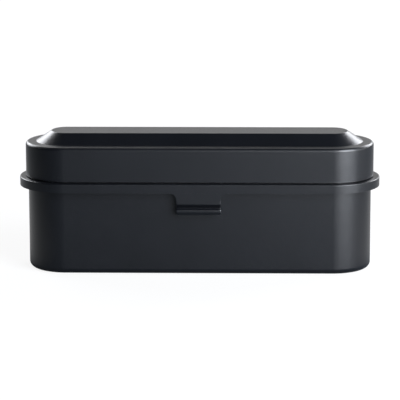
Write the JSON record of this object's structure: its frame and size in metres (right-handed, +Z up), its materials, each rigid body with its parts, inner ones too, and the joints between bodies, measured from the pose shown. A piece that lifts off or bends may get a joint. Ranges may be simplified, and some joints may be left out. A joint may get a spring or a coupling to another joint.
{
  "type": "film case",
  "caption": "Slim black steel film case with half-round ends, a hinged lid with a raised plateau, a skirt band with a front snap tab, and a pocketed tray.",
  "frame": {"origin": "centre of the base's outline, on the plane of its underside", "axes": "+X along the case, -Y towards the front with the snap tab, +Z up through the lid"},
  "size_m": [0.142, 0.0405, 0.0547],
  "materials": {
    "base_coating": "satin black powder coat with a fine grain",
    "lid_coating": "satin black powder coat with a fine grain",
    "band_coating": "satin black powder coat with a fine grain, worn a little on its edges",
    "hinge_coating": "satin black powder coat",
    "pin_steel": "drawn steel wire",
    "tray_plastic": "matt black moulded plastic"
  },
  "bodies": {
    "base": {"base_shell": "base_coating", "latch_catch": "base_coating", "film_tray": "tray_plastic", "hinge_base_leaf_left": "hinge_coating", "hinge_base_leaf_right": "hinge_coating", "hinge_pin_left": "pin_steel", "hinge_pin_right": "pin_steel"},
    "lid": {"lid_shell": "lid_coating", "lid_band": "band_coating", "hinge_lid_leaf_left": "hinge_coating", "hinge_lid_leaf_right": "hinge_coating"},
    "latch": {"latch_tab": "band_coating"}
  },
  "joints": [
    {"name": "lid_hinge", "type": "hinge", "parent": "base", "child": "lid", "pos_m": [0, 0.02028, 0.033], "axis": [-1, 0, 0], "range_deg": [0, 110]},
    {"name": "latch_flex", "type": "hinge", "parent": "lid", "child": "latch", "pos_m": [0, -0.0186, 0.0332], "axis": [-1, 0, 0], "range_deg": [0, 8], "stiffness_Nm_per_rad": 0.25}
  ]
}
